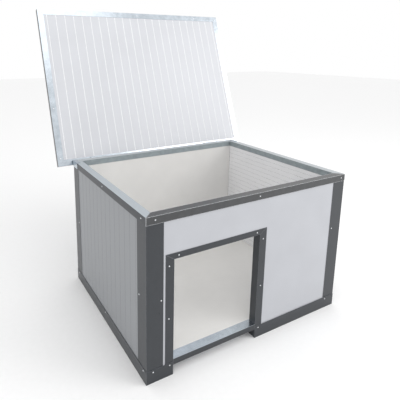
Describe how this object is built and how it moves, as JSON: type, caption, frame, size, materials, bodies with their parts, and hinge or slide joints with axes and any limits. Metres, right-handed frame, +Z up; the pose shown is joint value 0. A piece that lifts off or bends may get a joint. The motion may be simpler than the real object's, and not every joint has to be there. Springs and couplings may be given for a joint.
{
  "type": "calf hutch",
  "caption": "Insulated calf hutch of white sandwich panels with dark folded steel trims, an open front doorway and a framed lid hinged along the rear.",
  "frame": {"origin": "centre of the outline with the lid open, at ground level", "axes": "+Z up, the doorway faces -Y, +X to the right seen from the front"},
  "size_m": [1.436, 1.3838, 1.7493],
  "materials": {
    "anthracite": "semi-gloss",
    "zinc": "satin",
    "skin": "semi-gloss",
    "foam": "matte"
  },
  "bodies": {
    "hutch": {"base_channel_front_left": "anthracite", "base_channel_front_right": "anthracite", "base_channel_left": "anthracite", "base_channel_rear": "anthracite", "base_channel_right": "anthracite", "corner_post_front_left": "anthracite", "corner_post_front_right": "anthracite", "corner_post_rear_left": "anthracite", "corner_post_rear_right": "anthracite", "door_head": "anthracite", "door_jamb_left": "anthracite", "door_jamb_right": "anthracite", "door_sill": "zinc", "floor_core": "foam", "floor_edge_trim": "anthracite", "floor_ledge_left": "zinc", "floor_ledge_rear": "zinc", "floor_ledge_right": "zinc", "floor_top_skin": "skin", "floor_under_skin": "skin", "front_wall_core": "foam", "front_wall_inner_skin": "skin", "front_wall_outer_skin": "skin", "hinge_fixed_leaf_left": "zinc", "hinge_fixed_leaf_right": "zinc", "hinge_pin_left": "zinc", "hinge_pin_right": "zinc", "left_wall_core": "foam", "left_wall_inner_skin": "skin", "left_wall_outer_skin": "skin", "rear_corner_plate_left": "zinc", "rear_corner_plate_right": "zinc", "rear_wall_core": "foam", "rear_wall_inner_skin": "skin", "rear_wall_outer_skin": "skin", "right_wall_core": "foam", "right_wall_inner_skin": "skin", "right_wall_outer_skin": "skin", "rim_channel_front": "anthracite", "rim_channel_left": "anthracite", "rim_channel_rear": "anthracite", "rim_channel_right": "anthracite"},
    "lid": {"hinge_moving_leaf_left": "zinc", "hinge_moving_leaf_right": "zinc", "lid_cap_front": "anthracite", "lid_cap_left": "anthracite", "lid_cap_rear": "anthracite", "lid_cap_right": "anthracite", "lid_core": "foam", "lid_frame_front": "zinc", "lid_frame_left": "zinc", "lid_frame_rear": "zinc", "lid_frame_right": "zinc", "lid_top_skin": "skin", "lid_under_skin": "skin"}
  },
  "joints": [
    {"name": "lid_hinge", "type": "hinge", "parent": "hutch", "child": "lid", "pos_m": [0, 0.3101, 0.8065], "axis": [1, 0, 0], "range_deg": [0, 110.2]}
  ]
}
